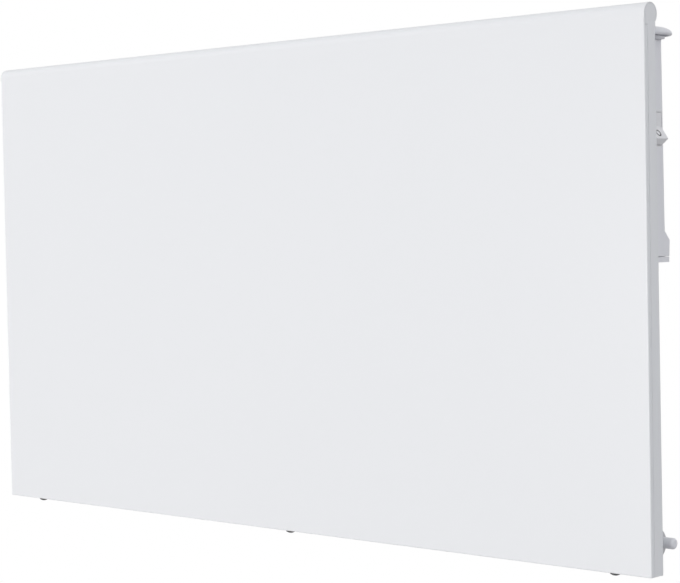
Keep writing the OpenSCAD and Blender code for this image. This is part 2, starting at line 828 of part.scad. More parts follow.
module potentiometer() {
    color("dimgray") from_panel() translate([spindle_x, dial_y, 0]) difference() {
        union() {
            translate([-pot_half_x, -pot_half_y, pot_top - pot_h])
                cube([2 * pot_half_x, 2 * pot_half_y, pot_h]);
            translate([0, 0, pot_top - eps])
                cylinder(h = collar_z + collar_h - pot_top, r = bush_r);
        }
        translate([0, 0, pot_top - pot_h + pot_floor - run_fit])
            cylinder(h = 4 * pot_h, r = spindle_r + run_fit);
    }
}

module thermostat_board() {
    color("seagreen") from_panel() {
        translate([board_x0, board_y, board_z0])
            cube([board_x1 - board_x0, board_t, board_z1 - board_z0]);
        translate([board_x0 + relay_at[0], board_y + board_t - eps, board_z0 + relay_at[1]])
            cube(relay_size);
        rod_y(board_x0 + capacitor_at[0], board_y + board_t - eps, board_y + board_t + capacitor_h,
            board_z0 + capacitor_at[1], capacitor_r);
    }
}

module switch_body() {
    color("gainsboro") from_panel() difference() {
        union() {
            switch_block(face_x - switch_d, face_x, cheek, cheek);
            switch_block(face_x, face_x + frame_out, frame_w, frame_end);
        }
        switch_block(pivot_x - rocker_round, face_x + frame_out + 1, 0, 0);
        translate([pivot_x, rocker_y, rocker_z]) rotate([90, 0, 0])
            cylinder(h = 2 * (opening_half_y + pin_out + pin_play), r = pivot_r + run_fit, center = true);
    }
}

// Outline of the rocker in its middle position: first value outwards, second along the switch
module rocker_outline() {
    intersection() {
        polygon([[rocker_dip, 0], [ridge_x, ridge_z], [ridge_x, 2 * ridge_z], [-rocker_deep, 2 * ridge_z],
            [-rocker_deep, 1 - foot_z], [-foot_in, -foot_z], [ridge_x, -ridge_z]]);
        union() {
            circle(rocker_round, $fn = 96);
            translate([-2 * ridge_z, -2 * ridge_z]) square([4 * ridge_z, 2 * ridge_z]);
        }
    }
}

module switch_rocker() {
    color("white") from_panel() translate([pivot_x, rocker_y, rocker_z]) {
        rotate([90, 0, 0]) rotate(rocker_tilt)
            linear_extrude(rocker_w, center = true) rocker_outline();
        rotate([90, 0, 0]) cylinder(h = 2 * (opening_half_y + pin_out), r = pivot_r, center = true);
    }
}

module terminal_block() {
    color("ivory") from_panel() difference() {
        translate([block_x0, rim_back, block_z]) cube([block_w, block_d, block_h]);
        for (i = [0 : 2]) translate([block_x0 + entry_in + i * entry_step, rim_back + entry_y, block_z - 1])
            cylinder(h = 1 + entry_deep, r = entry_r);
    }
}

module cable_gland() {
    color("gray") from_panel() translate([gland_x, gland_y, housing_bottom]) difference() {
        union() {
            translate([0, 0, -gland_flange_t]) cylinder(h = gland_flange_t, r = gland_flange_r);
            cylinder(h = housing_wall, r = gland_r);
            translate([0, 0, housing_wall]) cylinder(h = gland_nut_h, r = gland_flange_r, $fn = 6);
        }
        translate([0, 0, -2 * gland_flange_t]) cylinder(h = 6 * gland_flange_t, r = gland_bore_r);
    }
}

module wire_grommet() {
    x0 = box_x1 - casing_t - grommet_lip;
    x1 = housing_x0 + housing_wall + grommet_lip;
    color("dimgray") from_panel() difference() {
        union() {
            rod_x(x0, x1, wire_y[1], wire_z, grommet_r);
            rod_x(x0, x0 + grommet_lip, wire_y[1], wire_z, grommet_lip_r);
            rod_x(x1 - grommet_lip, x1, wire_y[1], wire_z, grommet_lip_r);
        }
        for (y = wire_y) rod_x(x0 - 1, x1 + 1, y, wire_z, wire_r + hole_fit);
    }
}

module live_lead() {
    color("brown") from_panel() wire([[block_x0, wire_y[0], wire_z], [lead_turn_x, wire_y[0], wire_z],
        [lead_turn_x, wire_y[0], element_z], [lead_turn_x, element_y, element_z],
        [holder_x[1] + rod_end + pin_l, element_y, element_z]], wire_r);
}

module neutral_lead() {
    start_z = board_z0 + board_rise;
    down_x = (housing_x0 + housing_wall + block_x0) / 2;
    up_x = cutout_x + tab_off;
    color("steelblue") from_panel() wire([[board_x0 + 2.5, board_y + board_t, start_z],
        [board_x0 + 2.5, wire_y[1], start_z], [down_x, wire_y[1], start_z], [down_x, wire_y[1], wire_z],
        [up_x, wire_y[1], wire_z], [up_x, wire_y[1], cutout_z - tab_h / 2]], wire_r);
}

module earth_lead() {
    up_x = lead_turn_x - 5;
    color("yellowgreen") from_panel() wire([[block_x0, wire_y[2], wire_z], [up_x, wire_y[2], wire_z],
        [up_x, wire_y[2], wire_z + lead_rise], [up_x, casing_in, wire_z + lead_rise]], wire_r);
}

module cutout_lead() {
    down_x = cutout_x - tab_off;
    back_y = casing_in - cutout_h - 4;
    side_x = box_inset + lead_side;
    over_z = element_z + hub_r + wing_l + lead_rise;
    color("khaki") from_panel() wire([[down_x, back_y, cutout_z - tab_h / 2], [down_x, back_y, over_z],
        [side_x, back_y, over_z], [side_x, back_y, element_z], [side_x, element_y, element_z],
        [holder_x[0] - rod_end - pin_l, element_y, element_z]], wire_r);
}

module sensor_holder() {
    x1 = panel_w - sensor_x;
    x0 = x1 - sensor_flange_t;
    color("silver") from_panel() difference() {
        union() {
            rod_x(x0, x1, sensor_y, sensor_z - flange_drop, sensor_flange_r);
            translate([x0 - sensor_arm_l, rim_back, sensor_z - sensor_arm_w / 2])
                cube([sensor_arm_l + eps, sensor_y - rim_back + sensor_arm_rise, sensor_arm_w]);
            translate([x0 - sensor_foot_l, rim_back, sensor_z - sensor_foot_w / 2])
                cube([sensor_foot_l, sensor_foot_t, sensor_foot_w]);
        }
        rod_x(x0 - sensor_arm_l - 1, x1 + 1, sensor_y, sensor_z, lead_d / 2 + hole_fit);
        rod_y(sensor_screw_x, rim_back - 1, rim_back + 2 * sensor_foot_t, sensor_z,
            small_shank_r + hole_fit);
    }
}

module sensor_cap() {
    x0 = panel_w - sensor_x;
    color(white_plastic) from_panel() difference() {
        translate([x0, sensor_y, sensor_z]) rotate([0, 90, 0]) rotate_extrude() {
            square([sensor_r, sensor_l - cap_round]);
            square([sensor_r - cap_round, sensor_l]);
            intersection() {
                translate([sensor_r - cap_round, sensor_l - cap_round]) circle(cap_round);
                square([2 * sensor_r, 2 * sensor_l]);
            }
        }
        rod_x(x0 - 1, x0 + sensor_l - sensor_r, sensor_y, sensor_z, lead_d / 2 + hole_fit);
    }
}

module sensor_bead() {
    x1 = panel_w - sensor_x + sensor_l - sensor_r;
    color("black") from_panel() rod_x(x1 - bead_l, x1, sensor_y, sensor_z, lead_d / 2);
}

module sensor_lead() {
    x1 = panel_w - sensor_x + sensor_l - sensor_r - bead_l;
    color("gray") from_panel() wire([[x1, sensor_y, sensor_z], [lead_x, sensor_y, sensor_z],
        [lead_x, sensor_y, sensor_z + 14], [lead_x, lead_y, sensor_z + 30],
        [lead_x, lead_y, board_z0]], lead_d / 2);
}

// Outline of one hook in Y and Z, with the seat of the slot at height z
module hook_outline(z) {
    polygon([[-rail_d + hook_root, z - tongue_h], [-hook_back - hook_nose, z - tongue_h],
        [-hook_back - hook_nose, z + hook_lip], [-hook_back, z + hook_lip], [-hook_back, z],
        [-rail_d + hook_root, z]]);
}

module rail(x, inner) {
    color(zinc) difference() {
        union() {
            translate([x - rail_w / 2, -bracket_t, -rail_h / 2]) cube([rail_w, bracket_t, rail_h]);
            for (side = [-1, 1]) {
                along_x(x + side * flange_off - bracket_t / 2, x + side * flange_off + bracket_t / 2) {
                    translate([-rail_d, -rail_h / 2]) square([rail_d, rail_h]);
                    for (z = hook_z) hook_outline(z);
                }
            }
        }
        for (z = [-bolt_z / 2, bolt_z / 2]) rod_y(x, -bracket_t - 1, 1, z, bolt_d / 2);
        for (z = [-bar_z, bar_z]) {
            translate([x + inner * flange_off - bracket_t, -2 * bracket_t - fit, z - bar_h / 2 - fit])
                cube([2 * bracket_t, bracket_t + fit, bar_h + 2 * fit]);
            rod_y(sign(x) * rivet_x, -bracket_t - 1, 1, z, rivet_d / 2 + hole_fit);
        }
    }
}

module bracket_left_rail() {
    rail(rail_x[0], 1);
}

module bracket_right_rail() {
    rail(rail_x[1], -1);
}

// A cross bar that lies on the wall between the rails, with a raised tab on each
module cross_bar(z) {
    edge = rail_gap / 2 - rail_w / 2;
    color(zinc) difference() {
        union() {
            translate([-edge, -bracket_t, z - bar_h / 2]) cube([2 * edge, bracket_t, bar_h]);
            for (side = [-1, 1]) translate([side * (edge + tab_l / 2 - bar_lap) - tab_l / 2 - bar_lap,
                -2 * bracket_t, z - bar_h / 2]) cube([tab_l + 2 * bar_lap, bracket_t, bar_h]);
        }
        for (x = [-rivet_x, rivet_x]) rod_y(x, -2 * bracket_t - 1, 1, z, rivet_d / 2 + hole_fit);
    }
}

module bracket_top_bar() {
    cross_bar(bar_z);
}

module bracket_bottom_bar() {
    cross_bar(-bar_z);
}

module bracket_rivets() {
    color(zinc) for (x = [-rivet_x, rivet_x], z = [-bar_z, bar_z]) {
        rod_y(x, -2 * bracket_t - 1, 0, z, rivet_d / 2);
        rod_y(x, -2 * bracket_t - rivet_head_h, -2 * bracket_t, z, rivet_d / 2 + rivet_head_lip);
    }
}

front_panel();
left_end_cap();
right_end_cap();
front_panel_screws();
clinch_nuts();
back_casing();
casing_screws();
back_screws();
heat_shield();
heating_element();
element_rod();
left_element_bracket();
right_element_bracket();
ceramic_insulators();
thermal_cutout();
control_housing();
terminal_cover();
housing_screws();
dial_collar();
thermostat_dial();
dial_spindle();
potentiometer();
thermostat_board();
switch_body();
switch_rocker();
terminal_block();
cable_gland();
wire_grommet();
live_lead();
neutral_lead();
earth_lead();
cutout_lead();
sensor_holder();
sensor_cap();
sensor_bead();
sensor_lead();
bracket_left_rail();
bracket_right_rail();
bracket_top_bar();
bracket_bottom_bar();
bracket_rivets();
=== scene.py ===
# %% [markdown]
# A slim electric convector that hangs on a wall bracket: one flat sheet steel front with a rolled top
# edge, and behind its right end a thermostat housing with a dial, a mains switch and a room sensor.
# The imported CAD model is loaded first. Everything here is in metres, in its frame: X to the right,
# Y towards the wall, Z up.

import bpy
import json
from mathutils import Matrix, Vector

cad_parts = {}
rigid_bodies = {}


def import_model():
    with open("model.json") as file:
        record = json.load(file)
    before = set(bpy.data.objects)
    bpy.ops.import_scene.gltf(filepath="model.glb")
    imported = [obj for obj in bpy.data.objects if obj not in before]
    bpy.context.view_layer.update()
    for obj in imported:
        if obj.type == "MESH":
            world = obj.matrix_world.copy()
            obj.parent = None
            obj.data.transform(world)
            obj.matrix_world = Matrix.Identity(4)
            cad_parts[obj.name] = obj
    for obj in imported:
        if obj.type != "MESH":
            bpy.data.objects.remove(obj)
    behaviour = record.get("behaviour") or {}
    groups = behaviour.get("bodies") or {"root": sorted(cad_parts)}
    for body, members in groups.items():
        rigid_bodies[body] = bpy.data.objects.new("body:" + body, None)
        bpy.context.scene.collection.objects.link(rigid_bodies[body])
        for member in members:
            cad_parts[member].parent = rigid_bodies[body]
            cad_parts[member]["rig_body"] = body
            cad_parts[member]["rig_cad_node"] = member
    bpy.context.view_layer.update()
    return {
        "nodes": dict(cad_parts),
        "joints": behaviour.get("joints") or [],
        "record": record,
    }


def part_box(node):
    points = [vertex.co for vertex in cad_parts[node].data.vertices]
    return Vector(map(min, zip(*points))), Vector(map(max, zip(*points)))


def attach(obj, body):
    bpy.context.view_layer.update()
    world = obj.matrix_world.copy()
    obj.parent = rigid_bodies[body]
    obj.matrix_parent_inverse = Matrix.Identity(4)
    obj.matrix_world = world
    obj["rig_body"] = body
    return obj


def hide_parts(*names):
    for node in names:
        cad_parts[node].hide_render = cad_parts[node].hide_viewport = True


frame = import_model()

# %% [markdown]
# The frame also says which body each node moves with, which finish it takes and where the joints are.
# These are looked up once here, so that no piece below has to repeat them.

# %% What the frame says
import json
import math

import bpy
from mathutils import Matrix, Vector

MM = 0.001
SKY = Vector((0, 0, 1))
NODES, RECORD = frame["nodes"], frame["record"]
BODY_OF = {node: body for body, members in RECORD["behaviour"]["bodies"].items() for node in members}
SLOT_OF = {part["node"]: part["material_slot"] for part in RECORD["subparts"]}
JOINT = {joint["name"]: joint for joint in frame["joints"]}

# %% [markdown]
# The camera comes before any piece, so that every render can be laid beside the photograph. Its place
# was worked out from the four straight edges of the front: it stands to the right of the heater, a
# little above its middle, and looks slightly down. A matrix made from the view direction and the up
# direction is more exact here than turning the camera by angles.

# %% The camera
PICTURE_WIDTH_PX = 680
SENSOR_MM = 36
FOCAL_PX = 1943.958
EYE = Vector((1.1097657, -1.1972114, 0.0531738))
LOOK = Vector((-0.67740196, 0.73468144, -0.03701032))
UP = Vector((-0.01070294, 0.04046338, 0.9991237))


def aim(eye, look, up):
    """A matrix that stands at eye and looks along look."""
    back = -look.normalized()
    side = up.cross(back).normalized()
    turn = Matrix((side, back.cross(side), back)).transposed().to_4x4()
    return Matrix.Translation(eye) @ turn


camera_data = bpy.data.cameras.new("camera")
camera = bpy.data.objects.new("camera", camera_data)
bpy.context.scene.collection.objects.link(camera)
camera_data.sensor_width = SENSOR_MM
camera_data.lens = FOCAL_PX * SENSOR_MM / PICTURE_WIDTH_PX
camera.matrix_world = aim(EYE, LOOK, UP)
bpy.context.scene.camera = camera
print("lens", round(camera_data.lens, 2), "mm")

# %% [markdown]
# The surround in the photograph is pure white all over, while the light on the heater has a direction
# and a tint. Light Path keeps the two apart: the camera, mirrors and glass see a plain white, and all
# other rays meet the real light. The world and the floor both need this, so it is a function.

# %% White to look at
def seen_rays(tree):
    """A value of 1 for the camera, for mirrors and for glass, and 0 for the light that falls on things."""
    rays = tree.nodes.new("ShaderNodeLightPath")
    seen = rays.outputs["Is Camera Ray"]
    for label in ("Is Glossy Ray", "Is Transmission Ray"):
        either = tree.nodes.new("ShaderNodeMath")
        either.operation = "MAXIMUM"
        tree.links.new(seen, either.inputs[0])
        tree.links.new(rays.outputs[label], either.inputs[1])
        seen = either.outputs[0]
    return seen


def show_or_light(tree, shown, lighting, output):
    """Lets one shader be seen and another one act on the light, and joins both to the output."""
    choose = tree.nodes.new("ShaderNodeMixShader")
    tree.links.new(seen_rays(tree), choose.inputs["Fac"])
    tree.links.new(lighting.outputs[0], choose.inputs[1])
    tree.links.new(shown.outputs[0], choose.inputs[2])
    tree.links.new(choose.outputs[0], output.inputs["Surface"])


# %% [markdown]
# Soft light falls on the front of the heater and leaves its right side clearly darker. The world gives
# the even part of it: bright all round at eye level and dimmer towards the ceiling, as a room with pale
# walls is. Generated coordinates in a world are directions, so their Z is the height in the sky.

# %% The world
WALLS, CEILING = 1.42, 0.26
WHITE = (1, 1, 1, 1)
ROOM_COLOUR = (0.955, 0.97, 1.0, 1)

world = bpy.data.worlds.new("studio")
bpy.context.scene.world = world
world.use_nodes = True
room = world.node_tree
room.nodes.clear()
lit = room.nodes.new("ShaderNodeBackground")
lit.inputs["Color"].default_value = ROOM_COLOUR
direction = room.nodes.new("ShaderNodeTexCoord")
height = room.nodes.new("ShaderNodeSeparateXYZ")
fade = room.nodes.new("ShaderNodeMapRange")
fade.inputs["To Min"].default_value = WALLS
fade.inputs["To Max"].default_value = CEILING
room.links.new(direction.outputs["Generated"], height.inputs["Vector"])
room.links.new(height.outputs["Z"], fade.inputs["Value"])
room.links.new(fade.outputs["Result"], lit.inputs["Strength"])
backdrop = room.nodes.new("ShaderNodeBackground")
backdrop.inputs["Color"].default_value = WHITE
show_or_light(room, backdrop, lit, room.nodes.new("ShaderNodeOutputWorld"))
bpy.context.scene.view_settings.view_transform = "Standard"
print("world strength", WALLS, "at eye level and", CEILING, "overhead")

# %% [markdown]
# A large lamp before the heater adds the rest of the light on the front. It stands low, so that the roll
# at the top turns away from it, and so far to the left that it never reaches the right side.

# %% The lamp
LAMP_POWER, LAMP_SIZE = 36, 1.0
LAMP_COLOUR = (1, 0.985, 0.96)
LAMP_EYE, LAMP_TARGET = Vector((-0.5, -3.15, -0.2)), Vector((0, -0.07, 0))

lamp_data = bpy.data.lights.new("key", "AREA")
lamp_data.shape = "DISK"
lamp_data.size = LAMP_SIZE
lamp_data.energy = LAMP_POWER
lamp_data.color = LAMP_COLOUR
lamp = bpy.data.objects.new("key", lamp_data)
bpy.context.scene.collection.objects.link(lamp)
lamp.matrix_world = aim(LAMP_EYE, LAMP_TARGET - LAMP_EYE, SKY)
print("one lamp of", LAMP_POWER, "W")

# %% [markdown]
# The floor lies below the heater, as under a convector on a wall. It looks white as the photograph's
# ground does, but it sends only a quarter of the light back up, so undersides are dark. Operators act on
# all that is selected, and the loaded nodes still are, so a small helper clears the selection before it
# adds a primitive. It serves every primitive in this file.

# %% The floor
FLOOR_DROP, FLOOR_SIZE = 0.45, 30
FLOOR_GREY = (0.26, 0.26, 0.265, 1)


def start_with(add, **settings):
    """Runs an operator that adds an object, with nothing else selected, and returns the object."""
    bpy.ops.object.select_all(action="DESELECT")
    add(**settings)
    return bpy.context.active_object


floor_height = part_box("front_panel")[0].z - FLOOR_DROP
floor = start_with(bpy.ops.mesh.primitive_plane_add, size=FLOOR_SIZE, location=(0, 0, floor_height))
floor.name = "floor"
paper = bpy.data.materials.new("floor_paper")
paper.use_nodes = True
paper.node_tree.nodes.clear()
paper_lit = paper.node_tree.nodes.new("ShaderNodeBsdfDiffuse")
paper_lit.inputs["Color"].default_value = FLOOR_GREY
show_or_light(paper.node_tree, paper.node_tree.nodes.new("ShaderNodeEmission"), paper_lit,
              paper.node_tree.nodes.new("ShaderNodeOutputMaterial"))
floor.data.materials.append(paper)
print("floor at", round(floor.location.z, 3))

# %% [markdown]
# Several finishes share the same small effects, so these are node groups with named inputs. A slow
# change of tone keeps a big pale sheet from looking drawn with one colour. Powder paint has a fine
# orange peel, moulded plastic a spark-eroded grain, and rolled steel long scratches in one direction.
# Each group only puts out colours, values or normals, and the shader stays in the material.

# %% Helpers for node groups
COLOUR = "NodeSocketColor"
NUMBER = "NodeSocketFloat"
VECTOR = "NodeSocketVector"


def new_group(name, inputs, outputs):
    """A group with its sockets: inputs is a list of (name, kind, value) and outputs of (name, kind)."""
    group = bpy.data.node_groups.new(name, "ShaderNodeTree")
    for label, kind, value in inputs:
        socket = group.interface.new_socket(name=label, in_out="INPUT", socket_type=kind)
        socket.default_value = value
    for label, kind in outputs:
        group.interface.new_socket(name=label, in_out="OUTPUT", socket_type=kind)
    return group, group.nodes.new("NodeGroupInput"), group.nodes.new("NodeGroupOutput")


def noise(group, detail, stretch=(1, 1, 1)):
    """A noise that follows the piece's own coordinates, stretched along its axes."""
    place = group.nodes.new("ShaderNodeTexCoord")
    mapping = group.nodes.new("ShaderNodeMapping")
    mapping.inputs["Scale"].default_value = stretch
    texture = group.nodes.new("ShaderNodeTexNoise")
    texture.inputs["Detail"].default_value = detail
    group.links.new(place.outputs["Object"], mapping.inputs["Vector"])
    group.links.new(mapping.outputs["Vector"], texture.inputs["Vector"])
    return texture


def blend(group, kind, factor, first, second):
    """Blends two sockets, as colours (RGBA) or as numbers (FLOAT)."""
    mix = group.nodes.new("ShaderNodeMix")
    mix.data_type = kind
    group.links.new(factor, mix.inputs["Factor"])
    group.links.new(first, mix.inputs["A"])
    group.links.new(second, mix.inputs["B"])
    return mix.outputs["Result"]


# %% The slow change of tone
TONE_DETAIL = 3

tone_group, tone_in, tone_out = new_group(
    "slow_tone", [("Colour", COLOUR, WHITE), ("Other", COLOUR, WHITE), ("Scale", NUMBER, 4)],
    [("Colour", COLOUR)])
clouds = noise(tone_group, TONE_DETAIL)
tone_group.links.new(tone_in.outputs["Scale"], clouds.inputs["Scale"])
tone = blend(tone_group, "RGBA", clouds.outputs["Fac"], tone_in.outputs["Colour"], tone_in.outputs["Other"])
tone_group.links.new(tone, tone_out.inputs["Colour"])
print("group", tone_group.name)

# %% Fine relief
RELIEF_DETAIL, RELIEF_DEPTH = 2, 0.2 * MM

relief_group, relief_in, relief_out = new_group(
    "fine_relief", [("Scale", NUMBER, 900), ("Strength", NUMBER, 0.1), ("Low", NUMBER, 0.3),
                    ("High", NUMBER, 0.4)],
    [("Normal", VECTOR), ("Roughness", NUMBER)])
grains = noise(relief_group, RELIEF_DETAIL)
relief_bump = relief_group.nodes.new("ShaderNodeBump")
relief_bump.inputs["Distance"].default_value = RELIEF_DEPTH
gloss_range = relief_group.nodes.new("ShaderNodeMapRange")
for source, target in (
        (relief_in.outputs["Scale"], grains.inputs["Scale"]),
        (relief_in.outputs["Strength"], relief_bump.inputs["Strength"]),
        (grains.outputs["Fac"], relief_bump.inputs["Height"]),
        (grains.outputs["Fac"], gloss_range.inputs["Value"]),
        (relief_in.outputs["Low"], gloss_range.inputs["To Min"]),
        (relief_in.outputs["High"], gloss_range.inputs["To Max"]),
        (relief_bump.outputs["Normal"], relief_out.inputs["Normal"]),
        (gloss_range.outputs["Result"], relief_out.inputs["Roughness"])):
    relief_group.links.new(source, target)
print("group", relief_group.name)

# %% [markdown]
# Galvanised sheet has two patterns at once. Rolling leaves streaks, here a noise that is squeezed along
# Z, and the zinc freezes in flakes, here the cells of a Voronoi texture. One input sets how much of each
# shows. The pattern drives both the colour and the roughness, so a brighter flake is also a rougher one
# and catches the light in another way than its neighbours.

# %% Rolled and plated steel
STREAK_SCALE, STREAK_DETAIL, STREAK_STRETCH = 60, 4, (1, 1, 30)
FLAKE_SCALE, STREAK_STRENGTH = 140, 0.12
STEEL_ROUGHNESS = (0.28, 0.46)

rolled_group, rolled_in, rolled_out = new_group(
    "rolled_steel", [("Dark", COLOUR, WHITE), ("Bright", COLOUR, WHITE), ("Spangle", NUMBER, 0.3)],
    [("Colour", COLOUR), ("Roughness", NUMBER), ("Normal", VECTOR)])
streaks = noise(rolled_group, STREAK_DETAIL, STREAK_STRETCH)
streaks.inputs["Scale"].default_value = STREAK_SCALE
flake_place = rolled_group.nodes.new("ShaderNodeTexCoord")
flakes = rolled_group.nodes.new("ShaderNodeTexVoronoi")
flakes.inputs["Scale"].default_value = FLAKE_SCALE
flake_tone = rolled_group.nodes.new("ShaderNodeSeparateColor")
rolled_group.links.new(flake_place.outputs["Object"], flakes.inputs["Vector"])
rolled_group.links.new(flakes.outputs["Color"], flake_tone.inputs["Color"])
pattern = blend(rolled_group, "FLOAT", rolled_in.outputs["Spangle"], streaks.outputs["Fac"],
                flake_tone.outputs["Red"])
steel_colour = blend(rolled_group, "RGBA", pattern, rolled_in.outputs["Dark"], rolled_in.outputs["Bright"])
steel_range = rolled_group.nodes.new("ShaderNodeMapRange")
steel_range.inputs["To Min"].default_value, steel_range.inputs["To Max"].default_value = STEEL_ROUGHNESS
steel_bump = rolled_group.nodes.new("ShaderNodeBump")
steel_bump.inputs["Strength"].default_value = STREAK_STRENGTH
steel_bump.inputs["Distance"].default_value = RELIEF_DEPTH
for source, target in (
        (pattern, steel_range.inputs["Value"]),
        (streaks.outputs["Fac"], steel_bump.inputs["Height"]),
        (steel_colour, rolled_out.inputs["Colour"]),
        (steel_range.outputs["Result"], rolled_out.inputs["Roughness"]),
        (steel_bump.outputs["Normal"], rolled_out.inputs["Normal"])):
    rolled_group.links.new(source, target)
print("group", rolled_group.name)

# %% [markdown]
# Two makers of materials cover the heater: one for what is painted or moulded, and one for bare metal.
# A finish is then one call that says its two nearly equal colours, its gloss and its grain. Colours
# are linear, and the shader's own sockets hold whatever is the same all over a surface.

# %% Makers of materials
COAT_ROUGHNESS = 0.12
MATERIALS = {}


def new_material(slot, metallic):
    """A material that is kept under the name of its slot: its node tree and its shader."""
    material = bpy.data.materials.new(slot)
    material.use_nodes = True
    shader = material.node_tree.nodes["Principled BSDF"]
    shader.inputs["Metallic"].default_value = metallic
    MATERIALS[slot] = material
    return material.node_tree, shader


def place_group(tree, group, values, links, shader):
    """Puts a group into a material with its values, and joins its outputs to the shader."""
    node = tree.nodes.new("ShaderNodeGroup")
    node.node_tree = group
    for label, value in values.items():
        node.inputs[label].default_value = value
    for label, socket in links.items():
        tree.links.new(node.outputs[label], shader.inputs[socket])


def coated(slot, colour, other, gloss, grain, relief, coat=0.0, patches=4):
    """Paint, plastic, rubber or ceramic.

    Its tone changes slowly from colour to other and back, in smaller patches for a higher number. gloss
    is the lowest and highest roughness, grain how fine the relief is, and relief how strong it is.
    """
    tree, shader = new_material(slot, 0)
    place_group(tree, tone_group, {"Colour": (*colour, 1), "Other": (*other, 1), "Scale": patches},
                {"Colour": "Base Color"}, shader)
    place_group(tree, relief_group, {"Scale": grain, "Strength": relief, "Low": gloss[0], "High": gloss[1]},
                {"Normal": "Normal", "Roughness": "Roughness"}, shader)
    shader.inputs["Coat Weight"].default_value = coat
    shader.inputs["Coat Roughness"].default_value = COAT_ROUGHNESS


def bare_metal(slot, dark, bright, spangle):
    """Rolled metal between two tones, with streaks at a spangle of 0 and flakes at 1."""
    tree, shader = new_material(slot, 1)
    place_group(tree, rolled_group, {"Dark": (*dark, 1), "Bright": (*bright, 1), "Spangle": spangle},
                {"Colour": "Base Color", "Roughness": "Roughness", "Normal": "Normal"}, shader)


# %% [markdown]
# The front and its end caps are powder coated in a slightly cool white. The coat is satin, with a peel
# so fine that it only softens reflections. The housing, dial and sensor are moulded in a slightly more
# violet white with less gloss. The switch is glossy.

# %% White finishes
coated("white_paint", (0.86, 0.868, 0.885), (0.875, 0.882, 0.898), gloss=(0.34, 0.42), grain=1400,
       relief=0.05, coat=0.25)
coated("white_plastic", (0.872, 0.872, 0.905), (0.888, 0.888, 0.918), gloss=(0.40, 0.50), grain=2600,
       relief=0.10, patches=12)
# The sensor's holder gets a mid grey, darker than the whites around it.
coated("grey_plastic", (0.60, 0.60, 0.615), (0.62, 0.62, 0.635), gloss=(0.45, 0.55), grain=2600,
       relief=0.10, patches=12)
coated("switch_plastic", (0.862, 0.855, 0.875), (0.875, 0.868, 0.888), gloss=(0.22, 0.28), grain=3000,
       relief=0.02, coat=0.15, patches=30)
print(len(MATERIALS), "white finishes made")

# %% [markdown]
# Behind, the casing is galvanised sheet with a faint spangle, and the wall bracket, the element's
# brackets and the screws are zinc plated. The element's fins are aluminium. The bottom screws are
# blackened steel, which is why they show as three dark dots in the photograph.

# %% Metals
bare_metal("casing_steel", (0.52, 0.54, 0.56), (0.66, 0.68, 0.70), spangle=0.55)
bare_metal("zinc_steel", (0.55, 0.56, 0.57), (0.70, 0.71, 0.73), spangle=0.15)
bare_metal("element_aluminium", (0.68, 0.69, 0.70), (0.80, 0.81, 0.82), spangle=0.05)
coated("black_steel", (0.02, 0.02, 0.022), (0.035, 0.035, 0.038), gloss=(0.32, 0.42), grain=1800,
       relief=0.08, patches=60)
print("metals made")

# %% [markdown]
# What is inside shows only through the air slots, or when a piece is used on its own. The wires still
# get their real colours: brown is live, blue is neutral, and earth is green and yellow. The sleeve of
# glass yarn and the ceramic are rougher than anything outside.

# %% Small parts inside
coated("dark_plastic", (0.03, 0.03, 0.033), (0.045, 0.045, 0.05), gloss=(0.4, 0.5), grain=2600,
       relief=0.1, patches=40)
coated("terminal_plastic", (0.72, 0.70, 0.62), (0.78, 0.76, 0.68), gloss=(0.4, 0.5), grain=2600,
       relief=0.1, patches=40)
coated("board", (0.03, 0.20, 0.09), (0.04, 0.26, 0.12), gloss=(0.3, 0.4), grain=1500, relief=0.12,
       patches=90)
coated("ceramic", (0.78, 0.74, 0.66), (0.84, 0.80, 0.73), gloss=(0.6, 0.75), grain=1800, relief=0.3,
       patches=60)
coated("black_rubber", (0.02, 0.02, 0.02), (0.035, 0.035, 0.035), gloss=(0.6, 0.7), grain=2000,
       relief=0.15, patches=60)
coated("glass_sleeve", (0.66, 0.62, 0.50), (0.78, 0.74, 0.62), gloss=(0.7, 0.85), grain=1600, relief=0.5,
       patches=220)
coated("white_cable", (0.72, 0.72, 0.72), (0.78, 0.78, 0.78), gloss=(0.45, 0.55), grain=2000, relief=0.1,
       patches=40)
for wire, colour, other, patches in (
        ("brown_wire", (0.13, 0.05, 0.02), (0.18, 0.07, 0.03), 40),
        ("blue_wire", (0.03, 0.10, 0.36), (0.05, 0.14, 0.42), 40),
        ("green_wire", (0.18, 0.40, 0.04), (0.62, 0.60, 0.05), 160)):
    coated(wire, colour, other, gloss=(0.4, 0.5), grain=2000, relief=0.1, patches=patches)
print(len(MATERIALS), "materials")

# %% [markdown]
# No real sheet or moulding ends in a razor-sharp edge, and light shows it: every edge catches a thin
# line. The CAD nodes already have the right outlines, so a piece here often starts from a merged copy
# of its node, gets its edges rounded by a bevel, and stands for the node. The copy drops the node's own
# marks and normals, because it is a new piece.

# %% Copies of CAD nodes
SAME_PLACE, FLAT_WITHIN = 0.002 * MM, math.radians(0.5)


def activate(piece):
    """Selects one object and nothing else."""
    bpy.ops.object.select_all(action="DESELECT")
    piece.select_set(True)
    bpy.context.view_layer.objects.active = piece


def merged_copy(node, name):
    """A copy of a CAD node with its loose triangles joined into whole faces."""
    activate(NODES[node])
    bpy.ops.object.duplicate()
    piece = bpy.context.active_object
    piece.name = name
    piece.data.name = name
    piece.parent = None
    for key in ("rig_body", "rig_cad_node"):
        if key in piece:
            del piece[key]
    bpy.ops.mesh.customdata_custom_splitnormals_clear()
    bpy.ops.object.mode_set(mode="EDIT")
    bpy.ops.mesh.select_all(action="SELECT")
    bpy.ops.mesh.remove_doubles(threshold=SAME_PLACE)
    bpy.ops.mesh.dissolve_limited(angle_limit=FLAT_WITHIN)
    bpy.ops.object.mode_set(mode="OBJECT")
    return piece


